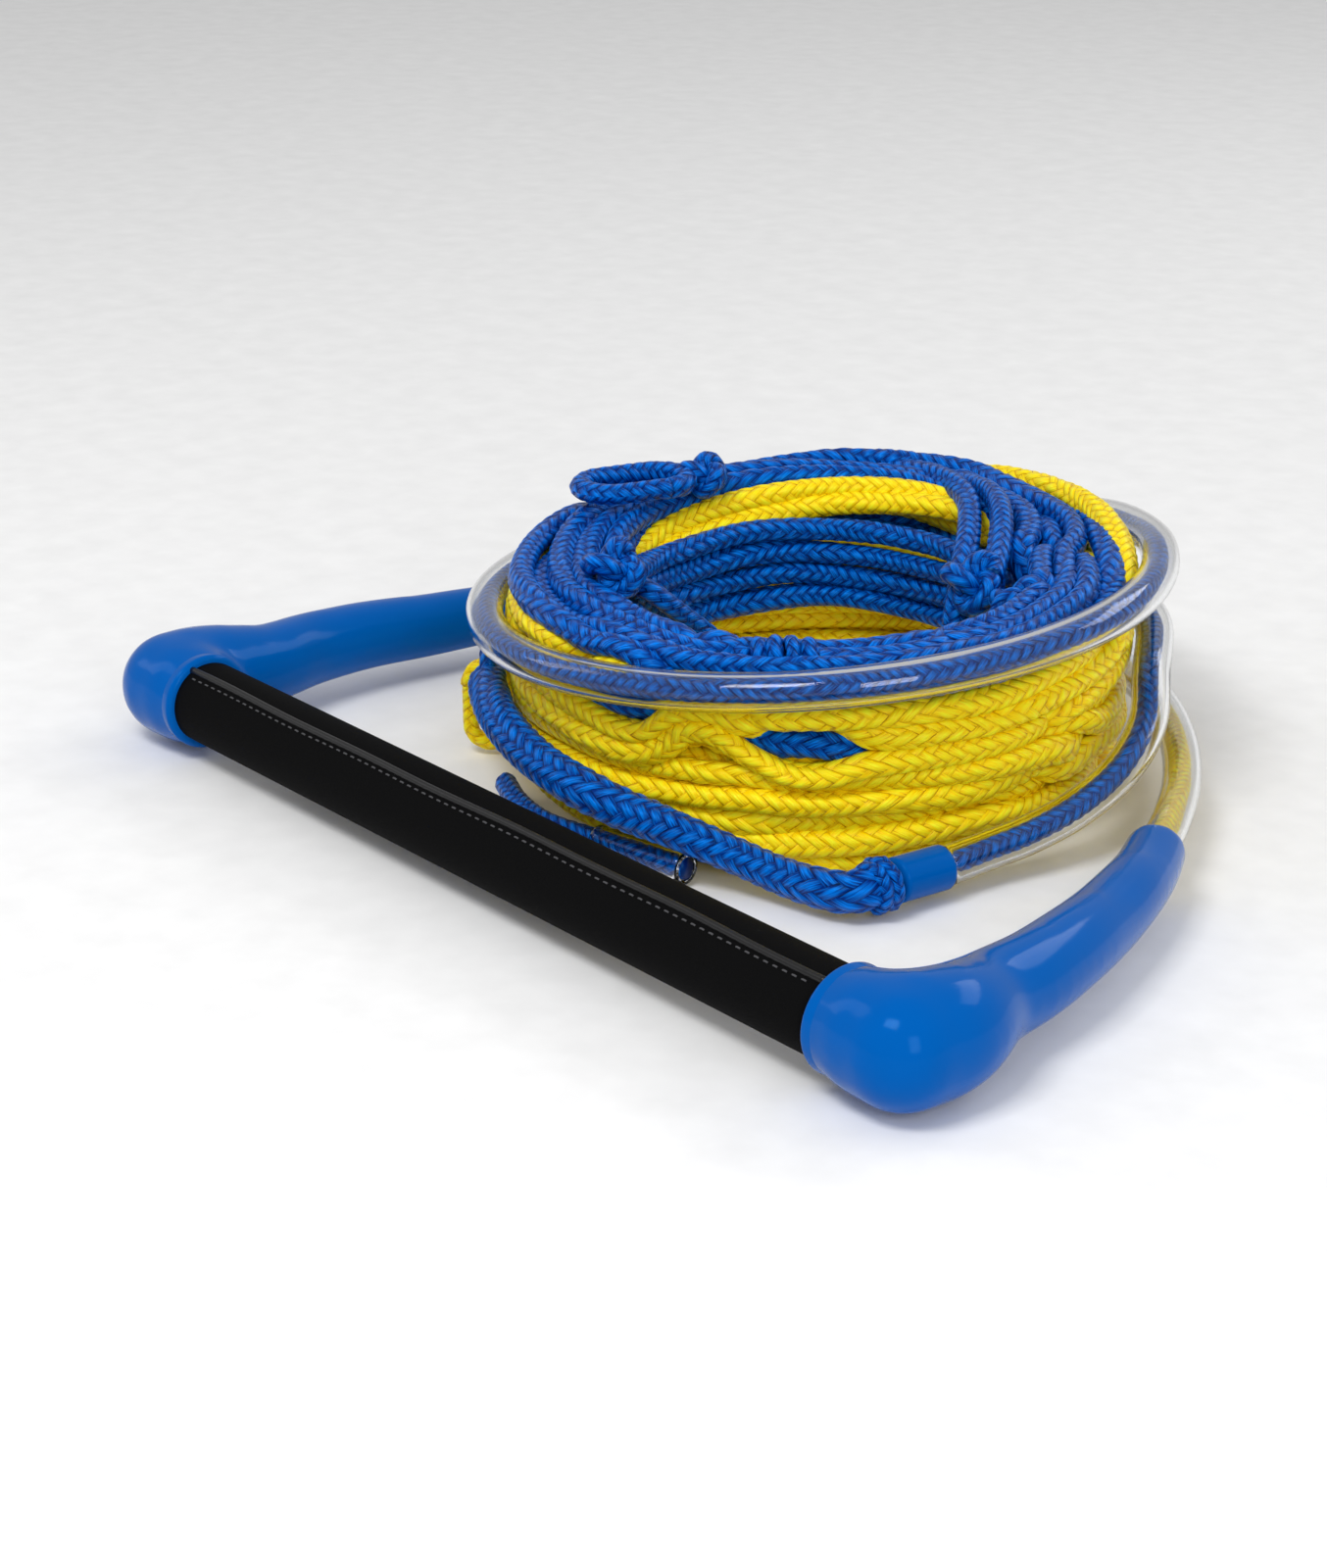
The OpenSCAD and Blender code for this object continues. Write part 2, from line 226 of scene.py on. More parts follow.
def walled_tube(name, line, outer, bore, sides=32):
    """A tube with a real wall, open at both ends."""
    side, up = frames(line)
    angle = 2 * np.pi * np.arange(sides) / sides
    around = np.cos(angle)[None, :, None] * side[:, None] + np.sin(angle)[None, :, None] * up[:, None]
    rings = np.vstack([line[:, None] + outer * around, (line[:, None] + bore * around)[::-1]])
    return new_mesh(name, rings.reshape(-1, 3), ring_faces(len(rings), sides, True).tolist())


BRAID_RELIEF = 0.15  # how deep a braid's gaps are, in radii


def braid_height(u, v):
    """How high a braid stands, from 0 in its gaps to 1, at u strands round it and v strands along it."""
    a, b = u + v, u - v
    which = (np.floor(a) + np.floor(b)) % 4
    over = which < 2
    across = np.where(over, a % 1, b % 1)
    along = np.where(over, which + b % 1, which - 2 + a % 1) / 2
    return np.sqrt(np.maximum(0, 1 - (2 * across - 1) ** 2)) * (0.4 + 0.6 * np.sin(np.pi * along))


def braided(name, line, diameter, strands=6, lay=0.58, sides=18, step=0.0014, seed=0, flat=0.06):
    """A braided rope. lay is the length of one stitch in diameters, and flat is how oval the rope is."""
    line = evenly(line, step)
    along = np.concatenate([[0], np.cumsum(np.linalg.norm(np.diff(line, axis=0), axis=1))])
    k = np.arange(sides)[None, :]
    rng = np.random.default_rng(seed)
    phase = rng.uniform(0, 2 * np.pi, 5)
    twist = 1.6 * np.sin(along * 13 + phase[3]) + 0.8 * np.sin(along * 41 + phase[4])
    stitch = along / (lay * diameter)
    stitch = stitch + 0.35 * np.sin(along * 67 + phase[4]) + 0.2 * np.sin(along * 151 + phase[3])
    height = braid_height(strands * (k / sides) + twist[:, None], stitch[:, None])
    wide = 1 + 0.06 * np.sin(along * 21 + phase[0]) * np.sin(along * 47 + phase[1])
    lean = 2 * np.pi * k / sides + phase[2] + 3 * np.sin(along * 9)[:, None]
    oval = 1 + flat * np.cos(2 * lean)
    radii = diameter / 2 * wide[:, None] * oval * (1 - BRAID_RELIEF * 0.6 + BRAID_RELIEF * height)
    return swept(name, line, radii, sides, (strands, twist, stitch))


# Materials


def material_nodes(name):
    """A new material with its node tree and its shader."""
    material = bpy.data.materials.new(name)
    material.use_nodes = True
    tree = material.node_tree
    shader = tree.nodes["Principled BSDF"]
    return material, tree, shader


def plain_material(name, color, roughness, specular=0.5, coat=0.0, bump=None, gloss=(1.0, 1.0, 1.0)):
    """A plain surface with a fine bump. bump is (scale, depth in metres) and gloss tints its reflections."""
    material, tree, shader = material_nodes(name)
    shader.inputs["Base Color"].default_value = (*color, 1)
    shader.inputs["Roughness"].default_value = roughness
    shader.inputs["Specular IOR Level"].default_value = specular
    shader.inputs["Specular Tint"].default_value = (*gloss, 1)
    shader.inputs["Coat Weight"].default_value = coat
    shader.inputs["Coat Roughness"].default_value = 0.04
    place_node = tree.nodes.new("ShaderNodeTexCoord")
    noise = tree.nodes.new("ShaderNodeTexNoise")
    scale, depth = bump or (60.0, 0.00002)
    noise.inputs["Scale"].default_value = scale
    noise.inputs["Detail"].default_value = 3
    tree.links.new(place_node.outputs["Object"], noise.inputs["Vector"])
    relief = tree.nodes.new("ShaderNodeBump")
    relief.inputs["Distance"].default_value = depth
    tree.links.new(noise.outputs["Fac"], relief.inputs["Height"])
    tree.links.new(relief.outputs["Normal"], shader.inputs["Normal"])
    tint = tree.nodes.new("ShaderNodeMix")
    tint.data_type = "RGBA"
    tint.inputs[6].default_value = (*[0.93 * c for c in color], 1)
    tint.inputs[7].default_value = (*[min(1.0, 1.06 * c) for c in color], 1)
    tree.links.new(noise.outputs["Fac"], tint.inputs[0])
    tree.links.new(tint.outputs[2], shader.inputs["Base Color"])
    return material


def clear_material(name):
    """A clear plastic, a little blue."""
    material, _, shader = material_nodes(name)
    shader.inputs["Base Color"].default_value = (0.97, 0.975, 0.98, 1)
    shader.inputs["Roughness"].default_value = 0.04
    shader.inputs["IOR"].default_value = 1.36
    shader.inputs["Transmission Weight"].default_value = 1.0
    return material


def math_node(tree, operation, *values):
    """The result of a sum on numbers or sockets."""
    node = tree.nodes.new("ShaderNodeMath")
    node.operation = operation
    for socket, value in zip(node.inputs, values):
        if isinstance(value, (int, float)):
            socket.default_value = value
        else:
            tree.links.new(value, socket)
    return node.outputs[0]


def braid_material(name, gap_shade, base, crown_highlight, gloss):
    """Braided rope. Its stitches come from the braid UV map, in strands round and strands along. Its colour
    has painted shade in the gaps between strands and a painted highlight on their crowns.
    """
    material, tree, shader = material_nodes(name)

    def m(operation, *values):
        return math_node(tree, operation, *values)

    uv = tree.nodes.new("ShaderNodeUVMap")
    uv.uv_map = "braid"
    split = tree.nodes.new("ShaderNodeSeparateXYZ")
    tree.links.new(uv.outputs[0], split.inputs[0])
    u, v = split.outputs[0], split.outputs[1]
    a, b = m("ADD", u, v), m("SUBTRACT", u, v)
    a_part, b_part = m("FLOORED_MODULO", a, 1.0), m("FLOORED_MODULO", b, 1.0)
    a_cell, b_cell = m("FLOOR", a), m("FLOOR", b)
    which = m("FLOORED_MODULO", m("ADD", a_cell, b_cell), 4.0)
    over = m("LESS_THAN", which, 1.5)
    under = m("SUBTRACT", 1.0, over)
    across = m("ADD", m("MULTIPLY", over, a_part), m("MULTIPLY", under, b_part))
    along_over = m("ADD", which, b_part)
    along_under = m("ADD", m("SUBTRACT", which, 2.0), a_part)
    along = m("MULTIPLY", 0.5, m("ADD", m("MULTIPLY", over, along_over), m("MULTIPLY", under, along_under)))
    off_axis = m("SUBTRACT", m("MULTIPLY", across, 2.0), 1.0)
    crown = m("SQRT", m("MAXIMUM", m("SUBTRACT", 1.0, m("MULTIPLY", off_axis, off_axis)), 0.0))
    arch = m("ADD", 0.35, m("MULTIPLY", 0.65, m("SINE", m("MULTIPLY", along, math.pi))))
    height = m("MULTIPLY", crown, arch)

    strand = m("ADD", m("MULTIPLY", over, a_cell), m("MULTIPLY", under, m("ADD", b_cell, 37.0)))
    fibre_at = tree.nodes.new("ShaderNodeCombineXYZ")
    tree.links.new(m("MULTIPLY", across, 9.0), fibre_at.inputs[0])
    tree.links.new(m("MULTIPLY", along, 1.3), fibre_at.inputs[1])
    tree.links.new(m("ADD", m("MULTIPLY", strand, 3.7), m("MULTIPLY", v, 0.21)), fibre_at.inputs[2])
    fibre = tree.nodes.new("ShaderNodeTexNoise")
    fibre.inputs["Scale"].default_value = 1.0
    fibre.inputs["Detail"].default_value = 2
    tree.links.new(fibre_at.outputs[0], fibre.inputs["Vector"])

    # Painted shade and highlight: the ramp darkens the braid's gaps and lightens the strands' crowns by their
    # height, and the fibre streaks add the rope's own tone.
    ramp = tree.nodes.new("ShaderNodeValToRGB")
    ramp.color_ramp.elements[0].position = 0.06
    ramp.color_ramp.elements[0].color = (*gap_shade, 1)
    ramp.color_ramp.elements[1].position = 1.0
    ramp.color_ramp.elements[1].color = (*crown_highlight, 1)
    middle = ramp.color_ramp.elements.new(0.4)
    middle.color = (*base, 1)
    streaks = m("MULTIPLY", m("SUBTRACT", fibre.outputs["Fac"], 0.36), 1.5)
    shade = m("ADD", m("MULTIPLY", height, 0.6), streaks)
    tree.links.new(shade, ramp.inputs["Fac"])
    tree.links.new(ramp.outputs["Color"], shader.inputs["Base Color"])

    relief = tree.nodes.new("ShaderNodeBump")
    relief.inputs["Distance"].default_value = 0.0008
    relief.inputs["Strength"].default_value = 0.8
    tree.links.new(m("ADD", height, m("MULTIPLY", fibre.outputs["Fac"], 0.45)), relief.inputs["Height"])
    tree.links.new(relief.outputs["Normal"], shader.inputs["Normal"])
    shader.inputs["Roughness"].default_value = 0.3
    shader.inputs["Specular IOR Level"].default_value = 0.36
    shader.inputs["Specular Tint"].default_value = (*gloss, 1)
    return material


BLUE_GLOSS, BLUE_FIBRE_GLOSS, YELLOW_FIBRE_GLOSS = (0.1, 0.45, 1.0), (0.3, 0.6, 1.0), (1.0, 0.9, 0.4)
BLUE_SKIN = plain_material(
    "blue_moulding", (0.0, 0.095, 0.4), 0.13, specular=0.11, coat=0.02, bump=(45.0, 0.00003), gloss=BLUE_GLOSS
)
GRIP_BLACK = plain_material(
    "grip_black", (0.0022, 0.0022, 0.0024), 0.85, specular=0.06, bump=(2600.0, 0.00012)
)
WELT_BLACK = plain_material("welt_black", (0.004, 0.004, 0.0045), 0.35, specular=0.3, bump=(400.0, 0.00003))
THREAD = plain_material("thread", (0.07, 0.07, 0.075), 0.6, specular=0.2, bump=(3000.0, 0.00005))
ALUMINIUM = plain_material("aluminium", (0.62, 0.63, 0.65), 0.35, bump=(900.0, 0.00002))
FOAM = plain_material("foam", (0.72, 0.68, 0.56), 0.9, specular=0.1, bump=(700.0, 0.0003))
CLEAR = clear_material("clear_tube")
BLUE_FIBRE = plain_material(
    "blue_fibre", (0.0, 0.05, 0.32), 0.5, specular=0.3, bump=(900.0, 0.0003), gloss=BLUE_FIBRE_GLOSS
)
YELLOW_FIBRE = plain_material(
    "yellow_fibre", (0.9, 0.6, 0.0), 0.5, specular=0.3, bump=(900.0, 0.0003), gloss=YELLOW_FIBRE_GLOSS
)
# dark is painted shade for the braid's gaps and light is a painted highlight on the strands' crowns; base is
# the rope's own colour.
BLUE_ROPE = braid_material(
    "blue_rope", gap_shade=(0.0, 0.002, 0.022), base=(0.0, 0.022, 0.21), crown_highlight=(0.0, 0.2, 0.82),
    gloss=(0.1, 0.5, 1.0),
)
YELLOW_ROPE = braid_material(
    "yellow_rope", gap_shade=(0.5, 0.22, 0.0), base=(1.0, 0.65, 0.0), crown_highlight=(1.0, 0.95, 0.02),
    gloss=(1.0, 0.9, 0.3),
)

add_camera()
add_studio()


# Ropes as pieces


def add_rope(name, line, diameter, material, replaces=(), body="handle_and_coil", **look):
    """A braided rope in its place. look goes to braided()."""
    slot = "yellow_rope" if material is YELLOW_ROPE else "blue_rope"
    return place(braided(name, line, diameter, **look), material, slot, body, replaces)


# Bridle tubes and the ropes in them


def polar(radius, degrees, z):
    """A point of the coil's frame round its axis."""
    return [radius * math.cos(math.radians(degrees)), radius * math.sin(math.radians(degrees)), z]


LEFT_ARM = [
    [-180, 12, 19], [-180, 20, 19], [-186, 38, 19], [-190, 58, 19], [-190.5, 82, 19],
    [-188.5, 107, 18], [-185.5, 130, 18], [-182, 151, 17], [-179, 172, 17],
]
RIGHT_ARM = [
    [180, 12, 19], [180, 20, 19], [180, 38, 19], [176, 59, 19], [169, 81.5, 19],
    [160, 103, 18], [150.5, 123.5, 18], [140, 142, 17], [128, 160, 17],
]
LEFT_LEAD = [
    [-56, 150, 21], [-20, 160, 29], [20, 156, 38], [58, 138, 48], [88, 108, 58],
    [104, 74, 67], [110.5, 36, 74],
]
RING_R = 112
LEFT_RING = [polar(RING_R, t, 68 + 0.094 * RING_R * math.cos(math.radians(t))) for t in range(0, -181, -15)]
LEFT_BACK = [polar(RING_R, t, 54 - 3 * math.cos(math.radians(t))) for t in range(165, -1, -15)]
LEFT_END = [
    [107, -34, 46], [104, -52, 35], [94, -70, 26], [79, -83, 18], [63, -93, 13],
    [50, -100, 10.5], [36, -110, 9.3], [34, -111.5, 9.3],
]
RIGHT_LEAD = [
    [107, -92, 17], [114, -64, 17], [118, -36, 18], [119, -6, 18], [117, 26, 17],
    [114, 60, 13], [110, 96, 9], [104, 132, 7], [98, 166, 6.5],
]


LAPS_AT = (10, 200)
COLLAR_LEN, COLLAR_R, WHIP_LEN = 20.0, 7.3, 8.0


def lap_point(t):
    """A point of the laps behind the coil, at an angle in degrees. The last lap rises for the whipping."""
    radius = 86 if t < 180 else 86 - 28 * (t - 180) / 360
    x, y, z = polar(radius, t, 6.5 + 2.8 * max(0, t - 552) / 96)
    return [LAPS_AT[0] + x, LAPS_AT[1] + y, z]


RIGHT_LAPS = [lap_point(t) for t in range(0, 649, 24)]


def route(arm, points):
    """A bridle side's centreline, from the arm's end on."""
    last, before = np.array(arm[-1], float), np.array(arm[-2], float)
    ahead = (last - before) / np.linalg.norm(last - before)
    start = MM * np.array([last, last + 6 * ahead])
    return smooth(np.vstack([start, from_coil(points)]), 0.002)


def nudged(line, toward, by):
    """The line moved sideways towards a vertical axis, as a rope lies on the inside of a tube's bend."""
    away = line - toward
    away[:, 2] = 0
    away /= np.linalg.norm(away, axis=1)[:, None]
    ends = np.minimum(np.arange(len(line)), np.arange(len(line))[::-1])
    return line - away * (by * np.clip(ends / 12.0, 0, 1))[:, None]


left_route = route(LEFT_ARM, LEFT_LEAD + LEFT_RING + LEFT_BACK + LEFT_END)
right_route = route(RIGHT_ARM, RIGHT_LEAD + RIGHT_LAPS)
coil_axis = from_coil([0, 0, 0])[0]
lap_axis = from_coil([*LAPS_AT, 0])[0]

# The inner rope lies towards the coil's axis, and on the right side towards the laps' axis from 0.3 m on.
for name, line, axis, material in (
    ("left", left_route, coil_axis, BLUE_ROPE),
    ("right", right_route, np.array([coil_axis, lap_axis]), YELLOW_ROPE),
):
    if name == "right":
        share = np.clip((np.arange(len(line)) * 0.002 - 0.30) / 0.06, 0, 1)[:, None]
        axis = axis[0] * (1 - share) + axis[1] * share
    tube = place(
        walled_tube(f"{name}_tube", line, TUBE_R * MM, TUBE_BORE_R * MM),
        CLEAR, "clear_tube", replaces=[f"{name}_bridle_tube"],
    )
    inner_line = nudged(line.copy(), axis, 0.9 * MM)
    inner = add_rope(
        f"{name}_inner_rope", inner_line, BRIDLE_ROPE_D * MM, material, [f"{name}_bridle_rope"], seed=3
    )


def past_end(line, by):
    """The point this far past a line's end."""
    ahead = line[-1] - line[-2]
    return line[-1] + by * ahead / np.linalg.norm(ahead)


def add_collar(name, line):
    """The collar over a tube's end: a short sleeve with rounded rims."""
    start, end = past_end(line, -0.5 * MM), past_end(line, COLLAR_LEN * MM)
    spine = evenly([start, end], 0.0005)
    t = np.linspace(0, COLLAR_LEN + 0.5, len(spine))
    rim = np.minimum(t, t[-1] - t)
    radii = COLLAR_R - 1.1 * np.clip(1 - rim / 1.3, 0, 1) ** 2
    collar = swept(f"{name}_sleeve_collar", spine, radii * MM, 48)
    place(collar, BLUE_SKIN, "moulding", replaces=[f"{name}_collar"])


def wrapped_knot(name, line, radius, turns, rope_d, material, replaces, seed=5):
    """Rope wound round a line in a helix that swells in the middle."""
    spine = evenly(line, 0.0005)
    side, up = frames(spine)
    t = np.linspace(0, 1, len(spine))
    angle = 2 * np.pi * turns * t + seed
    swell = radius * (0.82 + 0.22 * np.sin(np.pi * t))
    coil = spine + swell[:, None] * (np.cos(angle)[:, None] * side + np.sin(angle)[:, None] * up)
    add_rope(name, coil, rope_d, material, replaces, strands=4, lay=0.7, sides=14, step=0.0011, seed=seed)


for name, line, material in (("left", left_route, BLUE_ROPE), ("right", right_route, YELLOW_ROPE)):
    add_collar(name, line)
    whip = [past_end(line, (COLLAR_LEN + 1.5) * MM), past_end(line, (COLLAR_LEN + WHIP_LEN + 2) * MM)]
    wrapped_knot(f"{name}_whipping_wraps", whip, 6.8 * MM, 2.3, 4.8 * MM, material, [f"{name}_whipping"])


# Leader, its eye and the mainline's eye, the yellow tail and the boat end


LEADER = [
    [3, -131, 9], [-4, -127.5, 8.8], [-15, -119, 9], [-32, -108.5, 12.8], [-50, -101, 18],
    [-67, -91, 21.5], [-83, -77, 25], [-96, -59, 28], [-106, -36, 31], [-111, -8, 31],
    [-111.5, 2, 31],
]


def rope_from(line, reach, points):
    """A rope's line out of a collar: from inside it to reach past the tube's end, then through the points."""
    start = [past_end(line, (COLLAR_LEN + 1) * MM), past_end(line, reach * MM)]
    return smooth(np.vstack([start, from_coil(points)]))


leader_line = rope_from(left_route, 32, LEADER)
leader = add_rope(
    "leader", leader_line, LEADER_D * MM, BLUE_ROPE, ["leader_rope"], strands=8, lay=0.42, sides=26, seed=1
)


def racetrack(run, radius, count=40):
    """A closed loop: two half turns joined by straight runs along x. The near one is round the origin."""
    near = [[-radius * math.sin(t), radius * math.cos(t), 0] for t in np.linspace(0, math.pi, count)]
    far = [[run + radius * math.sin(t), -radius * math.cos(t), 0] for t in np.linspace(0, math.pi, count)]
    return np.array(near + far + near[:1])


def turned(points, x_axis, y_axis, at):
    """Flat points laid out along two directions of the coil's frame, from a point of it."""
    x, y = np.array(x_axis, float), np.array(y_axis, float)
    return from_coil(np.array(at, float) + points[:, :1] * x + points[:, 1:2] * y)


def add_eye(name, line, material, replaces):
    """An eye of thin rope, closed."""
    line = evenly(line, 0.001)
    eye = add_rope(
        name, line, EYE_ROPE_D * MM, material, replaces, strands=4, lay=0.7, sides=16, step=0.0012, seed=7
    )


add_eye(
    "leader_eye_loop", turned(racetrack(20, 7), (0, 1, 0), (0, 0, 1), (-111.5, 6, 31)), BLUE_ROPE,
    ["leader_eye"],
)
add_eye(
    "mainline_eye_loop", turned(racetrack(14, 7), (0, 0, -1), (-1, 0, 0), (-111.5, 16, 24.4)), YELLOW_ROPE,
    ["mainline_eye"],
)

TAIL = [
    [57.5, 157.5, 11.5], [59.5, 156, 16.5], [63.5, 150, 19], [67, 142, 18.5], [70, 133, 18],
    [74, 118, 17], [73, 103, 16], [68, 89, 15], [63, 81, 15],
]
tail_line = rope_from(right_route, 31, TAIL)
tail = add_rope("tail_rope", tail_line, TAIL_ROPE_D * MM, YELLOW_ROPE, ["yellow_tail"], seed=4)

BOAT_END = [[-105, -26, 4.6], [-100, -44, 4.6], [-91, -62, 5], [-77, -77, 5.6], [-45, -104, 5.6]]
SLEEVE_ENDS = [[-73, -80.375, 5.6], [-45, -104, 5.6]]
SLEEVE_R, SLEEVE_BORE_R = 5.2, 4
boat_line = smooth(from_coil(BOAT_END))
boat = add_rope("boat_end", boat_line, TAIL_ROPE_D * MM, BLUE_ROPE, ["boat_end_rope"], seed=6)
sleeve_line = evenly(from_coil(SLEEVE_ENDS), 0.002)
sleeve = place(
    walled_tube("boat_end_sleeve", sleeve_line, SLEEVE_R * MM, SLEEVE_BORE_R * MM),
    CLEAR, "clear_tube", replaces=["chafe_sleeve"],
)


# Coiled mainline


COIL_HEIGHT = 79.5  # at the coil's axis, before the tilt
POINT_STEP = 5.0  # between a turn's points
MEAN_TURN_R = 88
MIDDLE_TURN_Z = 82  # height of a turn that takes the whole tilt


def coil_top(a, b):
    """The height of the coil's top face, which is tilted up towards its back and right."""
    return COIL_HEIGHT + 0.055 * b + 0.03 * a


def outer_radius(z):
    """The coil's outline: narrower at its foot and over its top turns."""
    return np.interp(z, [0, 22, 32, 60, 70, 90], [101, 102, 105, 105.3, 104.5, 100])


def inner_radius(a, b, z):
    """The hole's radius. Top turns stand into it at the sides and keep to the rim at the front and back."""
    across = b / np.maximum(np.hypot(a, b), 1.0)
    set_back = 20 * np.maximum(0, -across) ** 0.7 + 13 * np.maximum(0, across) ** 0.7
    return np.interp(z, [0, 56, 64, 90], [70, 70, 62, 61]) + np.interp(z, [56, 64], [0, 1]) * set_back


def turn_places():
    """Where each blue and each yellow turn lies in the coil's section, as (radius, height)."""
    yellow = []
    for layer in range(7):
        columns = 3 if layer in (0, 2) else 4
        shift = 2.5 if layer % 2 else 0.0
        yellow += [(75.5 + 8.4 * i + shift + 4.0 * (columns == 3), 5 + 7.7 * layer) for i in range(columns)]
    yellow += [(99.5, 59.0), (101.0, 65.5), (77.0, 67.0)]
    blue = [
        (68, 66), (77, 60), (86, 65), (94, 60), (72, 74), (82, 74), (91.5, 73.5), (99.5, 71.5), (86, 80),
    ]
    return blue, yellow


def shuffled(places, rng, reach):
    """The places in an order that strays from the first one by up to reach."""
    order = np.argsort(np.arange(len(places)) + rng.uniform(0, reach, len(places)))
    return [places[i] for i in order]


def wound(places, turns, start, seed, spread, lean=0.0):
    """A rope wound through the places in turn, in the coil's frame, with slow sideways drift.

    Each turn moves over to the next place in its last part. start is in degrees, spread is the size of
    the drift, and lean is how far the turns stand in from the coil's right side.
    """
    rng = np.random.default_rng(seed)
    angle = np.arange(0, turns * 2 * np.pi, POINT_STEP / MEAN_TURN_R)
    turn_count = angle / (2 * np.pi)
    index = np.floor(turn_count).astype(int)
    part = np.clip((turn_count - index - 0.55) / 0.45, 0, 1)
    ease = part * part * (3 - 2 * part)
    section = np.array(places, float)
    index = np.minimum(index, len(places) - 1)
    after = np.minimum(index + 1, len(places) - 1)
    where = section[index] * (1 - ease)[:, None] + section[after] * ease[:, None]
    for harmonic in (1.31, 2.17, 3.43):
        phase = rng.uniform(0, 2 * np.pi, 2)
        size = spread / harmonic**0.6
        where[:, 0] += 0.5 * size * np.sin(harmonic * angle + phase[0])
        where[:, 1] += size * np.sin(harmonic * angle + phase[1])
    turn = math.radians(start) + angle
    radius = where[:, 0] - lean * (1 + np.cos(turn))
    a, b = radius * np.cos(turn), radius * np.sin(turn)
    lift = where[:, 1] / MIDDLE_TURN_Z * (coil_top(a, b) - COIL_HEIGHT)
    return np.stack([a, b, where[:, 1] + lift], axis=1)


def near_pairs(points, rope_of, within):
    """Pairs of points closer than within that aren't near each other along one rope."""
    found_i, found_j = [], []
    index = np.arange(len(points))
    for first in range(0, len(points), 400):
        rows = slice(first, first + 400)
        gap = ((points[rows, None] - points[None]) ** 2).sum(-1)
        i, j = np.nonzero(gap < within**2)
        i = i + first
        keep = (j > i) & ((rope_of[i] != rope_of[j]) | (index[j] - index[i] > 4))
        found_i.append(i[keep])
        found_j.append(j[keep])
    return np.concatenate(found_i), np.concatenate(found_j)


# Gaps between the outer yellow turns, as (a, b, z, half length, half height).
GAPS = [(-66, -80, 52, 15, 6.0), (-8, -103, 45, 15, 6.0), (-42, -95, 40, 10, 4.0)]
OUTER_TURNS_R = 94  # only turns outside this radius make way for a gap
NEAR = 11.5
TIGHTNESS = 0.96  # how close two ropes may lie, in parts of their radii's sum


def push_apart(points, radius, i, j):
    """Moves the pairs of points i and j that are too close away from each other."""
    apart = points[i] - points[j]
    gap = np.maximum(np.linalg.norm(apart, axis=1), 1e-6)
    push = np.maximum(0, TIGHTNESS * (radius[i] + radius[j]) - gap)
    move = (0.3 * push / gap)[:, None] * apart
    np.add.at(points, i, move)
    np.add.at(points, j, -move)


def keep_off(points, radius, centre, centre_r):
    """Moves the points halfway out of a round space."""
    away = points - centre
    far = np.maximum(np.linalg.norm(away, axis=1), 1e-6)
    points += (np.maximum(0, centre_r + radius - far) / far * 0.5)[:, None] * away


def open_gap(points, radius, movable, gap):
    """Moves the movable points halfway up or down out of a gap between turns."""
    a, b, z, half, tall = gap
    close = movable & (np.hypot(points[:, 0], points[:, 1]) > OUTER_TURNS_R)
    along = np.hypot(points[:, 0] - a, points[:, 1] - b)
    reach = tall * np.sqrt(np.maximum(0, 1 - (along / half) ** 2)) + radius * (along < half)
    off = points[:, 2] - z
    push = np.where(close & (np.abs(off) < reach), (reach - np.abs(off)) * np.sign(off), 0)
    points[:, 2] += 0.5 * push


def keep_inside(points, radius):
    """Keeps the points in the coil's outline."""
    distance = np.hypot(points[:, 0], points[:, 1])
    inside_r = inner_radius(points[:, 0], points[:, 1], points[:, 2]) + radius
    limit = np.clip(distance, inside_r, outer_radius(points[:, 2]) - radius)
    points[:, :2] *= (1 + 0.6 * (limit / distance - 1))[:, None]
    ceiling = coil_top(points[:, 0], points[:, 1]) - radius
    points[:, 2] = np.clip(points[:, 2], radius, ceiling)


def settle(ropes, diameters, free, free_r, rounds):
    """Pushes overlapping ropes apart, inside the coil's outline and off the free spaces."""
    points = np.vstack(ropes)
    target = points.copy()
    rope_of = np.concatenate([np.full(len(r), i) for i, r in enumerate(ropes)])
    radius = np.concatenate([np.full(len(r), d / 2) for r, d in zip(ropes, diameters)])
    inside = np.ones(len(points), bool)
    ends = np.cumsum([0] + [len(r) for r in ropes])
    inside[ends[:-1]] = False
    inside[ends[1:] - 1] = False
    middle = np.nonzero(inside)[0]
    for turn in range(rounds):
        if turn % 6 == 0:
            i, j = near_pairs(points, rope_of, NEAR)
        push_apart(points, radius, i, j)
        level = 0.5 * (points[middle - 1] + points[middle + 1]) - points[middle]
        points[middle] += 0.22 * level
        points += 0.012 * (target - points)
        for centre, centre_r in zip(free, free_r):
            keep_off(points, radius, centre, centre_r)
        for gap in GAPS:
            open_gap(points, radius, rope_of == 0, gap)
        keep_inside(points, radius)
    return [points[a:b] for a, b in zip(ends[:-1], ends[1:])]


TOP_KNOT, HANG_KNOT, FRONT_KNOT = [-38, 62, 85.6], [-68, -22, 78], [-16, -90, 71]
RIGHT_KNOTS = [[50, -18, 72], [62, -36, 70]]
LOOP_ROOM = [[-61, -17, 67], [-55, -13, 58]]  # where the hanging loop swings
KEPT_FREE = np.array([TOP_KNOT, HANG_KNOT, FRONT_KNOT, *RIGHT_KNOTS, *LOOP_ROOM], float)
KEPT_FREE_R = [7, 7, 6, 7, 7, 13, 13]
# A stray blue turn that shows in the gaps.
STRAY = [
    polar(82, 186, 58), polar(94, 204, 55), polar(99, 222, 52), polar(99.5, 242, 49), polar(99, 260, 46),
    polar(94, 278, 43), polar(80, 294, 40),
]

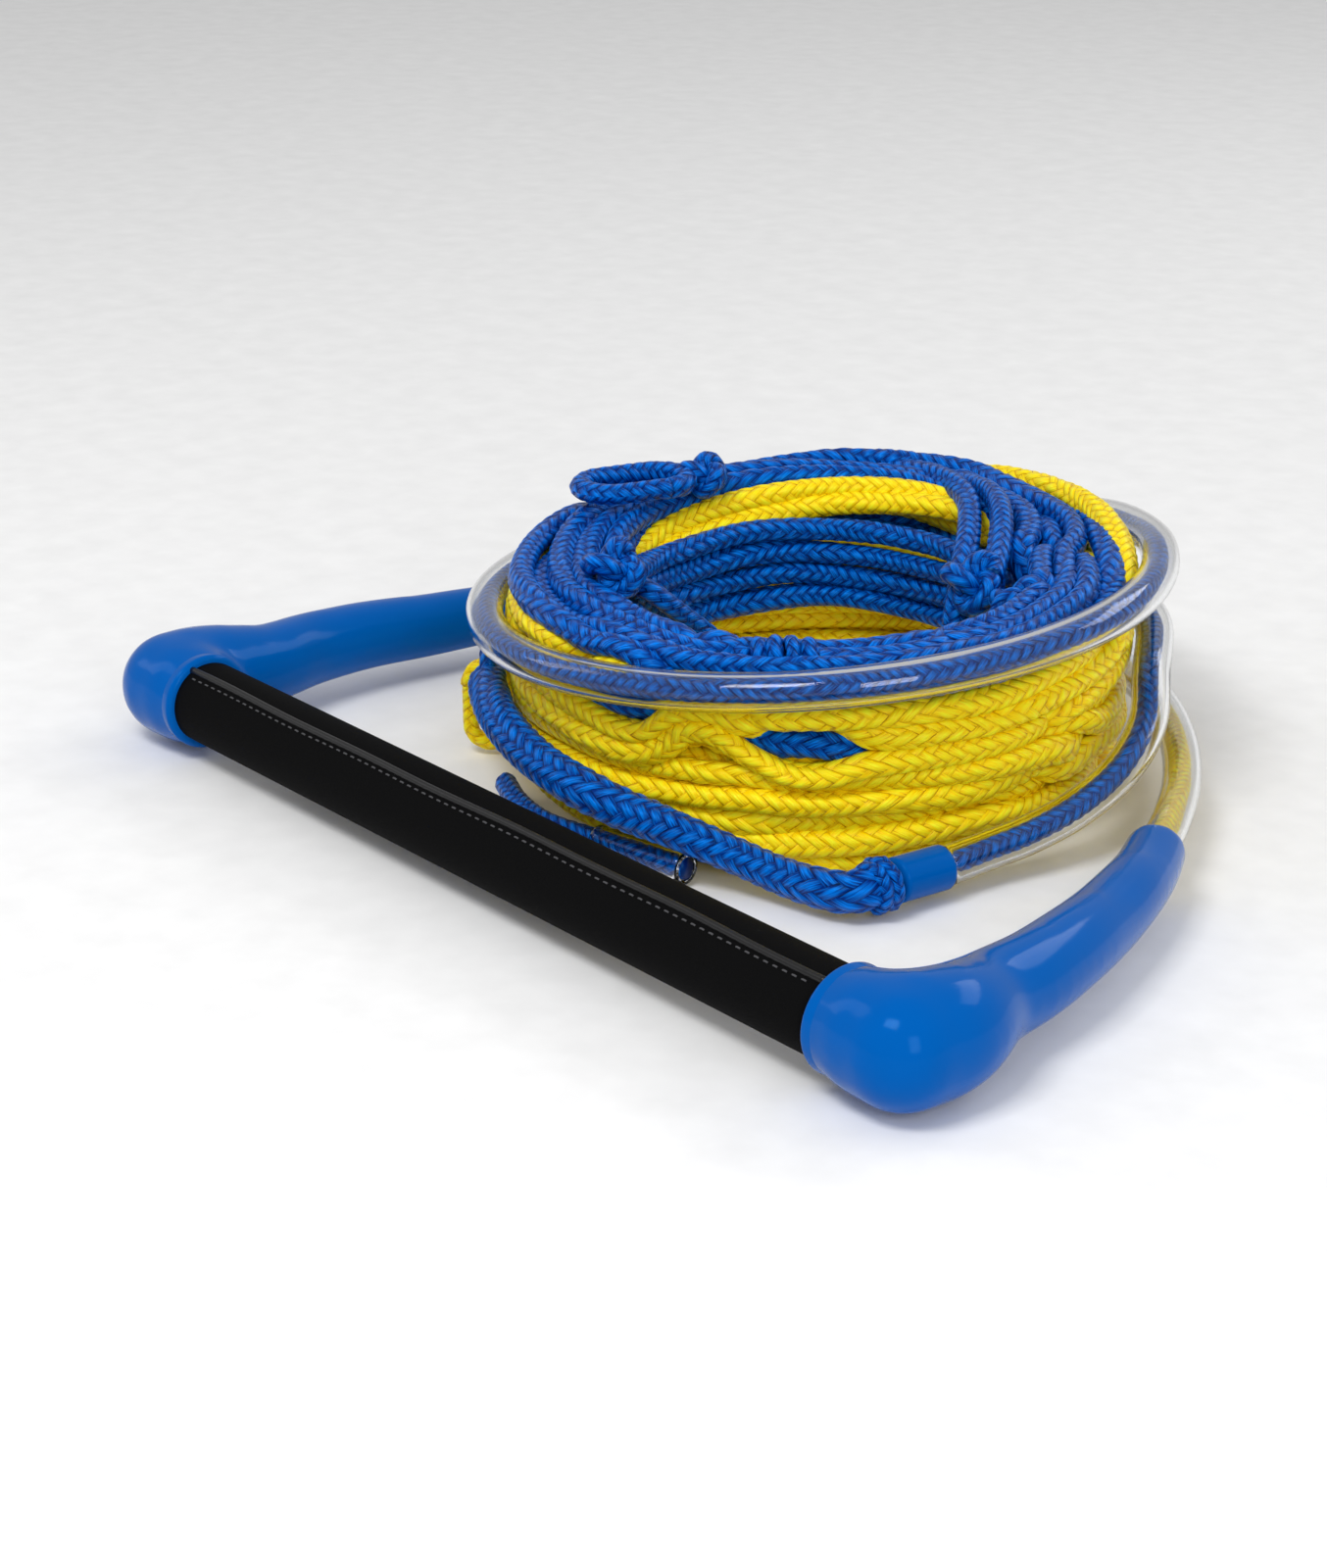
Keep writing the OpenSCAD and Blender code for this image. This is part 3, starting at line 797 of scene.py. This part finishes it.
blue_places, yellow_places = turn_places()
rng = np.random.default_rng(11)
yellow_start = wound(shuffled(yellow_places, rng, 5), turns=28.2, start=50, seed=21, spread=3.6)
blue_start = wound(shuffled(blue_places, rng, 2.5), turns=8.9, start=110, seed=5, spread=3.2, lean=2.6)
settling_rounds = 120
yellow_points, blue_points, stray_points = settle(
    [yellow_start, blue_start, smooth(STRAY, POINT_STEP)], [ROPE_D, ROPE_D, STRAY_D], KEPT_FREE, KEPT_FREE_R,
    settling_rounds,
)

# The real lengths are sections of 50 and 15 feet.
for name, points, material, nodes, seed, feet in (
    ("yellow_mainline", yellow_points, YELLOW_ROPE, ["yellow_coil"], 8, 50),
    ("blue_sections", blue_points, BLUE_ROPE, ["blue_coil"], 9, 15),
    ("blue_stray_turn", stray_points, BLUE_ROPE, [], 10, 0),
):
    line = smooth(from_coil(points), 0.004)
    rope = add_rope(
        name, line, ROPE_D * MM, material, nodes, lay=0.64, sides=16, step=0.0015, seed=seed, flat=0.1
    )


# Corners and arms


ELBOW = [[170, 0, 19], [180, 1, 19], [186, 7, 19], [186, 19, 19]]
ELBOW_R = [16.5, 18.2, 18.8, 17.4]
ARM_TIP_R, ARM_SWELL = 9.2, 6.6
HEEL_R, HEEL_X, HEEL_Y = 18.6, 187.2, 0.5
NECK_R, NECK_FROM, NECK_TO = 16.4, 164.0, 182.0
SKIN_GROWTH = 0.5  # makes up for what the smoothing takes off


def joined(name, parts):
    """Several meshes joined in the first one, which gets the name."""
    first = parts[0]
    with bpy.context.temp_override(active_object=first, object=first, selected_editable_objects=parts):
        bpy.ops.object.join()
    first.name = name
    return first


def arm_limb(side, arm):
    """The arm with the elbow that leads into it from the bar."""
    axis = np.array([[side * x, y, z] for x, y, z in ELBOW] + arm[2:], float)
    arm_r = [ARM_TIP_R + ARM_SWELL * (1 - (i / 8) ** 0.8) for i in range(2, 9)]
    line = smooth(MM * axis, 0.001)
    corners = [length_of(MM * axis[: i + 1]) if i else 0.0 for i in range(len(axis))]
    along = np.linspace(0, corners[-1], len(line))
    return swept("limb", line, MM * (SKIN_GROWTH + np.interp(along, corners, ELBOW_R + arm_r)), 64)


def moulded_corner(name, side, arm, replaces):
    """One smooth skin over the bar's end, the corner and the arm, which swells into a heel at the corner."""
    neck_ends = MM * np.array([[side * NECK_FROM, 0, BAR_Z], [side * NECK_TO, 0, BAR_Z]])
    neck = swept("neck", evenly(neck_ends, 0.001), NECK_R * MM, 64)
    limb = arm_limb(side, arm)
    bpy.ops.mesh.primitive_uv_sphere_add(
        segments=64, ring_count=32, radius=HEEL_R * MM, location=(side * HEEL_X * MM, HEEL_Y * MM, BAR_Z * MM)
    )
    skin = joined(name, [bpy.context.object, neck, limb])
    bpy.context.view_layer.update()
    skin.data.transform(skin.matrix_world)
    skin.matrix_world = Matrix.Identity(4)
    for voxel, rounds in ((2.0, 16), (0.9, 8)):
        remesh = skin.modifiers.new("remesh", "REMESH")
        remesh.mode = "VOXEL"
        remesh.voxel_size = voxel * MM
        even = skin.modifiers.new("even", "SMOOTH")
        even.factor = 0.5
        even.iterations = rounds
    mesh = bpy.data.meshes.new_from_object(skin.evaluated_get(bpy.context.evaluated_depsgraph_get()))
    skin.modifiers.clear()
    skin.data = mesh
    mesh.materials.clear()
    place(skin, BLUE_SKIN, "moulding", replaces=replaces)


moulded_corner("left_corner_skin", -1, LEFT_ARM, ["left_corner_cap", "left_arm_sleeve"])
moulded_corner("right_corner_skin", 1, RIGHT_ARM, ["right_corner_cap", "right_arm_sleeve"])
for side, name in ((-1, "left"), (1, "right")):
    rim_line = evenly(MM * np.array([[side * 163.6, 0, BAR_Z], [side * 171.0, 0, BAR_Z]]), 0.0003)
    t = np.linspace(0, 1, len(rim_line))
    radii = 16.55 - 1.7 * np.clip(1 - t / 0.22, 0, 1) ** 2 - 1.0 * t**2
    place(swept(f"{name}_cap_rim", rim_line, radii * MM, 96), BLUE_SKIN, "moulding")


# Grip


grip_line = evenly(MM * np.array([[-GRIP_LEN / 2, 0, BAR_Z], [GRIP_LEN / 2, 0, BAR_Z]]), 0.004)
place(swept("grip_wrap", grip_line, GRIP_R * MM, 96), GRIP_BLACK, "grip", replaces=["grip_sleeve"])


def on_grip(x, radius, degrees):
    """A point at a height round the grip, up from its front."""
    angle = math.radians(degrees)
    return [x * MM, -radius * math.cos(angle) * MM, (BAR_Z + radius * math.sin(angle)) * MM]


SEAM_ANGLE, STITCH_ANGLE = 64, 53
STITCHES, STITCH_PITCH, STITCH_LEN = 80, 4.0, 1.8
WELT_R, THREAD_R, THREAD_RISE = 1.3, 0.3, 0.25


def stitch_line(x):
    """A stitch that bows a little out of the grip."""
    angle = STITCH_ANGLE + 0.8 * math.sin(x / 13)
    return np.array([
        on_grip(x + STITCH_LEN * t, GRIP_R + THREAD_RISE * math.sin(math.pi * t), angle)
        for t in np.linspace(0, 1, 7)
    ])


xs = np.linspace(-GRIP_LEN / 2, GRIP_LEN / 2, 83)
welt_line = smooth(
    [on_grip(x, GRIP_R, SEAM_ANGLE + 1.2 * math.sin(x / 37) + 0.8 * math.sin(x / 13)) for x in xs]
)
place(swept("seam_welt", welt_line, WELT_R * MM, 16), WELT_BLACK, "grip", replaces=["grip_seam_welt"])
starts = [(i - STITCHES // 2) * STITCH_PITCH for i in range(STITCHES)]
stitches = joined(
    "seam_stitches", [swept(f"stitch_{i}", stitch_line(x), THREAD_R * MM, 8) for i, x in enumerate(starts)]
)
place(stitches, THREAD, "thread", replaces=["grip_stitching"])


# Take-off loops, their knots and the whipped joints of the blue rope


def spun(points, heading, tip, tip_axis):
    """Points turned by tip about an axis, then by heading about z. Both are in degrees."""
    spin = Matrix.Rotation(math.radians(heading), 3, "Z") @ Matrix.Rotation(math.radians(tip), 3, tip_axis)
    return points @ np.array(spin).T


def add_knot(name, at, size, turn, tip, diameter, replaces, seed):
    """A tight overhand knot in blue rope, closed, round a point of the coil's frame."""
    t = np.linspace(0, 2 * np.pi, 90)
    x, y = np.sin(t) + 2 * np.sin(2 * t), np.cos(t) - 2 * np.cos(2 * t)
    flat = np.stack([x, y, -1.25 * np.sin(3 * t)], axis=1)
    line = from_coil(np.array(at, float) + spun(size * flat, turn, tip, "X"))
    add_rope(
        name, line, diameter * MM, BLUE_ROPE, replaces, strands=5, lay=0.62, sides=16, step=0.0011, seed=seed
    )


def add_strand(name, points, diameter, seed, material):
    """A length of rope through points of the coil's frame."""
    line = smooth(from_coil(points), 0.002)
    add_rope(name, line, diameter * MM, material, seed=seed)


def hinged_loop(name, knot_at, gap, run, turn_r, diameter, heading, dip, node, seed):
    """A take-off loop that leaves its knot at a heading in the coil's frame and dips by an angle.

    The CAD node that it stands for has the same name as its body.
    """
    flat = racetrack(run, turn_r)
    flat[:, 0] += gap
    line = evenly(from_coil(np.array(knot_at, float) + spun(flat, heading, dip, "Y")), 0.001)
    loop = add_rope(
        name, line, diameter * MM, BLUE_ROPE, [node], node,
        strands=5, lay=0.6, sides=16, step=0.0012, seed=seed,
    )


hinged_loop("top_take_off_loop", TOP_KNOT, 18, 17, 10.5, 7.4, 203, 0, "top_loop", 12)
hinged_loop("hanging_take_off_loop", HANG_KNOT, 18.9, 20, 8, 7, 35, 40, "hanging_loop", 13)
add_knot("top_loop_hitch", TOP_KNOT, 2.4, 20, 15, 6.2, ["top_loop_knot"], 14)
add_knot("hanging_loop_hitch", HANG_KNOT, 2.8, 40, 30, 7.0, ["hanging_loop_knot"], 15)
add_knot("right_hitch_1", RIGHT_KNOTS[0], 2.9, 10, 35, 7.0, ["right_knots"], 16)
add_knot("right_hitch_2", RIGHT_KNOTS[1], 2.9, 70, -30, 7.0, [], 17)

# Strands on the inner wall of the hole, from the left cluster to the right one, the highest first.
for name, seed, points in (
    ("inner_strand_1", 21, [
        [-64, -12, 72], [-62, 12, 66], [-50, 38, 64], [-22, 58, 66],
        [14, 60, 66], [42, 42, 66], [54, 14, 67], [54, -8, 70],
    ]),
    ("inner_strand_2", 22, [
        [-64, -8, 64], [-60, 16, 58], [-46, 42, 56], [-18, 60, 58],
        [16, 60, 57], [44, 40, 57], [56, 14, 60], [60, -22, 66],
    ]),
    ("inner_strand_3", 25, [
        [-66, 0, 54], [-58, 24, 49], [-38, 50, 48], [-8, 62, 50],
        [24, 58, 48], [48, 36, 49], [60, 10, 54], [66, -10, 58],
    ]),
    ("inner_strand_4", 26, [
        [-66, 8, 44], [-54, 34, 40], [-28, 56, 40], [4, 62, 42], [34, 52, 40], [54, 28, 41], [66, 4, 46],
    ]),
    # Two strands that drop from the coil's back to the right knots.
    ("right_drop_1", 23, [
        [30, 92, 79], [44, 72, 82], [52, 46, 82], [51, 20, 79], [48, 0, 74], [45, -14, 66], [43, -20, 54],
    ]),
    ("right_drop_2", 24, [[50, 76, 79], [60, 50, 83], [62, 24, 83], [59, -2, 78], [55, -20, 74]]),
):
    add_strand(name, points, STRAND_D, seed, BLUE_ROPE)

# Yellow turns that cross the top: two at the hole's back and one along the right rim.
for name, seed, points in (
    ("yellow_crossing_1", 27, [
        [-66, 22, 56], [-54, 42, 62], [-30, 62, 67], [-2, 69, 72], [26, 64, 75], [50, 50, 76], [68, 30, 72],
    ]),
    ("yellow_crossing_2", 28, [
        [-64, 34, 64], [-48, 54, 70], [-22, 68, 75], [8, 72, 78], [36, 64, 79], [60, 50, 76],
    ]),
    ("yellow_crossing_3", 29, [
        [46, 88, 78], [70, 71, 82], [89, 42, 83], [98, 12, 81], [99, -18, 75], [93, -42, 66],
    ]),
):
    add_strand(name, points, CROSSING_D, seed, YELLOW_ROPE)

# The whipped joint at the front lies along the blue turn there.
FRONT_JOINT = [[-27, -88.5, 70], [-16, -91, 71], [-4, -92, 71]]
wrapped_knot(
    "front_joint_wraps", from_coil(FRONT_JOINT), 4.4 * MM, 4.6, 5.2 * MM, BLUE_ROPE, ["front_knot"], seed=18
)


# Pieces that keep their CAD shape


for node, material in (
    ("bar_tube", ALUMINIUM), ("bar_float", FOAM), ("left_bar_bung", FOAM), ("right_bar_bung", FOAM),
    ("left_stopper_knot", BLUE_FIBRE), ("right_stopper_knot", YELLOW_FIBRE), ("left_arm_rope", BLUE_FIBRE),
    ("right_arm_rope", YELLOW_FIBRE),
):
    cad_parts[node].data.materials.clear()
    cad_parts[node].data.materials.append(material)

bpy.context.view_layer.update()
